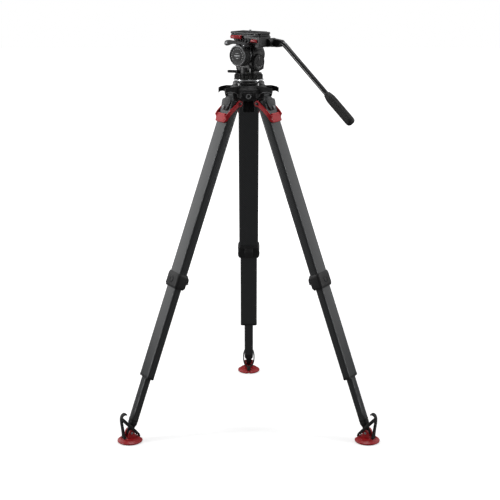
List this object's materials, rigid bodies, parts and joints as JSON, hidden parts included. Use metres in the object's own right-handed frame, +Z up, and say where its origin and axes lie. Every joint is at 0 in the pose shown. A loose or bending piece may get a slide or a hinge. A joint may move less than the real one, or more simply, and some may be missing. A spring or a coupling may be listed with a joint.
{
  "type": "video tripod with fluid head",
  "caption": "Video tripod: flat two-stage legs with quick-release levers under a levelling bowl, and a fluid pan-and-tilt head with dials, camera plate and pan bar.",
  "frame": {"origin": "on the floor, under the centre of the outline of the three foot pads", "axes": "+Z up; +Y toward the rear leg; +X to the right seen from the side of the two front legs; the head faces 38 degrees off that line"},
  "size_m": [0.7872, 0.6918, 1.2051],
  "materials": {
    "satin_black": "satin",
    "grey_casting": "satin",
    "grey_steel": "satin",
    "silver_ring": "machined satin",
    "carbon_tube": "clear-coated carbon fibre",
    "black_plastic": "moulded, fine grain",
    "red_anodised": "satin",
    "red_rubber": "semi-gloss",
    "black_rubber": "matte",
    "level_glass": "clear"
  },
  "bodies": {
    "root": {"crown": "satin_black", "accessory_sockets": "grey_steel", "leg_hinge_pins": "grey_steel"},
    "leg_1": {"leg_head_1": "grey_casting", "upper_tube_1": "carbon_tube", "mid_collar_1": "black_plastic"},
    "brake_1": {"brake_lever_1": "red_anodised"},
    "middle_1": {"middle_tube_1": "carbon_tube", "lower_clamp_1": "black_plastic"},
    "lower_1": {"lower_tube_1": "carbon_tube", "foot_tip_1": "satin_black"},
    "foot_1": {"foot_pad_1": "red_rubber", "foot_strap_1": "black_rubber"},
    "leg_2": {"leg_head_2": "grey_casting", "upper_tube_2": "carbon_tube", "mid_collar_2": "black_plastic"},
    "brake_2": {"brake_lever_2": "red_anodised"},
    "middle_2": {"middle_tube_2": "carbon_tube", "lower_clamp_2": "black_plastic"},
    "lower_2": {"lower_tube_2": "carbon_tube", "foot_tip_2": "satin_black"},
    "foot_2": {"foot_pad_2": "red_rubber", "foot_strap_2": "black_rubber"},
    "leg_3": {"leg_head_3": "grey_casting", "upper_tube_3": "carbon_tube", "mid_collar_3": "black_plastic"},
    "brake_3": {"brake_lever_3": "red_anodised"},
    "middle_3": {"middle_tube_3": "carbon_tube", "lower_clamp_3": "black_plastic"},
    "lower_3": {"lower_tube_3": "carbon_tube", "foot_tip_3": "satin_black"},
    "foot_3": {"foot_pad_3": "red_rubber", "foot_strap_3": "black_rubber"},
    "cup": {"clamp_cup": "satin_black"},
    "ball": {"half_ball": "satin_black", "ball_collar": "silver_ring", "tie_rod": "grey_steel"},
    "clamp": {"clamp_knob": "black_plastic"},
    "pan_drag": {"pan_drag_ring": "black_rubber"},
    "pan": {"pan_housing": "satin_black", "pan_bearing": "grey_steel", "tilt_bearings": "grey_steel", "tilt_damper": "grey_steel", "bubble_level": "level_glass"},
    "pan_brake": {"pan_brake_lever": "black_plastic"},
    "tilt": {"tilt_platform": "satin_black", "tilt_shaft": "grey_steel", "balance_spring": "grey_steel"},
    "tilt_drag": {"tilt_drag_dial": "black_rubber"},
    "balance": {"balance_dial": "black_rubber"},
    "tilt_brake": {"tilt_brake_lever": "grey_casting"},
    "plate_lock": {"plate_lock_lever": "red_anodised"},
    "release": {"release_button": "red_anodised"},
    "plate": {"camera_plate": "satin_black", "plate_pad": "black_rubber"},
    "screw": {"camera_screw": "silver_ring"},
    "bar": {"bar_clamp": "black_plastic", "pan_bar": "grey_casting", "pan_grip": "black_rubber"},
    "bar_knob": {"bar_knob": "black_plastic"}
  },
  "joints": [
    {"name": "leg_1_spread", "type": "hinge", "parent": "root", "child": "leg_1", "pos_m": [0, -0.0528, 1.01699], "axis": [1, 0, 0], "range_deg": [-19, 40]},
    {"name": "leg_1_brake_lever", "type": "hinge", "parent": "leg_1", "child": "brake_1", "pos_m": [0, -0.05403, 0.99417], "axis": [1, 0, 0], "range_deg": [0, 35], "stiffness_Nm_per_rad": 0.6, "springref_deg": -20.05},
    {"name": "leg_1_middle_slide", "type": "slide", "parent": "leg_1", "child": "middle_1", "axis": [0, 0.3437, -0.9391], "range_m": [-0.27, 0.12]},
    {"name": "leg_1_lower_slide", "type": "slide", "parent": "middle_1", "child": "lower_1", "axis": [0, 0.3437, -0.9391], "range_m": [-0.125, 0.27]},
    {"name": "leg_1_foot_tilt", "type": "hinge", "parent": "lower_1", "child": "foot_1", "pos_m": [0, 0.30839, 0.03], "axis": [1, 0, 0], "range_deg": [-45, 16]},
    {"name": "leg_2_spread", "type": "hinge", "parent": "root", "child": "leg_2", "pos_m": [-0.0433, -0.1278, 1.01699], "axis": [-0.5, 0.866, 0], "range_deg": [-19, 40]},
    {"name": "leg_2_brake_lever", "type": "hinge", "parent": "leg_2", "child": "brake_2", "pos_m": [-0.04223, -0.12718, 0.99417], "axis": [-0.5, 0.866, 0], "range_deg": [0, 35], "stiffness_Nm_per_rad": 0.6, "springref_deg": -20.05},
    {"name": "leg_2_middle_slide", "type": "slide", "parent": "leg_2", "child": "middle_2", "axis": [-0.2976, -0.1718, -0.9391], "range_m": [-0.27, 0.12]},
    {"name": "leg_2_lower_slide", "type": "slide", "parent": "middle_2", "child": "lower_2", "axis": [-0.2976, -0.1718, -0.9391], "range_m": [-0.125, 0.27]},
    {"name": "leg_2_foot_tilt", "type": "hinge", "parent": "lower_2", "child": "foot_2", "pos_m": [-0.3561, -0.30839, 0.03], "axis": [-0.5, 0.866, 0], "range_deg": [-45, 16]},
    {"name": "leg_3_spread", "type": "hinge", "parent": "root", "child": "leg_3", "pos_m": [0.0433, -0.1278, 1.01699], "axis": [-0.5, -0.866, 0], "range_deg": [-19, 40]},
    {"name": "leg_3_brake_lever", "type": "hinge", "parent": "leg_3", "child": "brake_3", "pos_m": [0.04223, -0.12718, 0.99417], "axis": [-0.5, -0.866, 0], "range_deg": [0, 35], "stiffness_Nm_per_rad": 0.6, "springref_deg": -20.05},
    {"name": "leg_3_middle_slide", "type": "slide", "parent": "leg_3", "child": "middle_3", "axis": [0.2976, -0.1718, -0.9391], "range_m": [-0.27, 0.12]},
    {"name": "leg_3_lower_slide", "type": "slide", "parent": "middle_3", "child": "lower_3", "axis": [0.2976, -0.1718, -0.9391], "range_m": [-0.125, 0.27]},
    {"name": "leg_3_foot_tilt", "type": "hinge", "parent": "lower_3", "child": "foot_3", "pos_m": [0.3561, -0.30839, 0.03], "axis": [-0.5, -0.866, 0], "range_deg": [-45, 16]},
    {"name": "level_sideways", "type": "hinge", "parent": "root", "child": "cup", "pos_m": [0, -0.1028, 1.0535], "axis": [0, 1, 0], "range_deg": [-3.3, 3.3]},
    {"name": "level_forward", "type": "hinge", "parent": "cup", "child": "ball", "pos_m": [0, -0.1028, 1.0535], "axis": [1, 0, 0], "range_deg": [-3.3, 3.3]},
    {"name": "bowl_clamp", "type": "hinge", "parent": "ball", "child": "clamp", "pos_m": [0, -0.1028, 0.98], "axis": [0, 0, 1], "continuous": true},
    {"name": "pan_drag_set", "type": "hinge", "parent": "ball", "child": "pan_drag", "pos_m": [0, -0.1028, 1.07], "axis": [0, 0, 1], "range_deg": [0, 120]},
    {"name": "pan", "type": "hinge", "parent": "ball", "child": "pan", "pos_m": [0, -0.1028, 1.08], "axis": [0, 0, 1], "continuous": true},
    {"name": "pan_brake_turn", "type": "hinge", "parent": "pan", "child": "pan_brake", "pos_m": [-0.03284, -0.11965, 1.084], "axis": [0, 0, 1], "range_deg": [-15, 30]},
    {"name": "tilt", "type": "hinge", "parent": "pan", "child": "tilt", "pos_m": [0, -0.1028, 1.132], "axis": [-0.6157, -0.788, 0], "range_deg": [-32, 80]},
    {"name": "tilt_drag_set", "type": "hinge", "parent": "pan", "child": "tilt_drag", "pos_m": [-0.02463, -0.13432, 1.132], "axis": [-0.6157, -0.788, 0], "range_deg": [0, 200]},
    {"name": "balance_set", "type": "hinge", "parent": "pan", "child": "balance", "pos_m": [0.02994, -0.12619, 1.112], "axis": [0.788, -0.6157, 0], "range_deg": [0, 270]},
    {"name": "tilt_brake_turn", "type": "hinge", "parent": "pan", "child": "tilt_brake", "pos_m": [-0.008, -0.15365, 1.1625], "axis": [0.6157, 0.788, 0], "range_deg": [0, 30]},
    {"name": "plate_lock_turn", "type": "hinge", "parent": "tilt", "child": "plate_lock", "pos_m": [-0.02346, -0.1247, 1.184], "axis": [0, 0, 1], "range_deg": [0, 80]},
    {"name": "release_press", "type": "slide", "parent": "tilt", "child": "release", "axis": [0.6157, 0.788, 0], "range_m": [0, 0.004], "stiffness_N_per_m": 1500, "springref_m": -0.002},
    {"name": "plate_slide", "type": "slide", "parent": "tilt", "child": "plate", "axis": [0.788, -0.6157, 0], "range_m": [-0.025, 0.025]},
    {"name": "camera_screw_turn", "type": "hinge", "parent": "plate", "child": "screw", "pos_m": [0.00512, -0.1068, 1.192], "axis": [0, 0, 1], "continuous": true},
    {"name": "pan_bar_angle", "type": "hinge", "parent": "tilt", "child": "bar", "pos_m": [0.07085, -0.1112, 1.168], "axis": [-0.6157, -0.788, 0], "range_deg": [-10, 110]},
    {"name": "bar_knob_turn", "type": "hinge", "parent": "bar", "child": "bar_knob", "pos_m": [0.07885, -0.10095, 1.168], "axis": [-0.6157, -0.788, 0], "continuous": true}
  ]
}
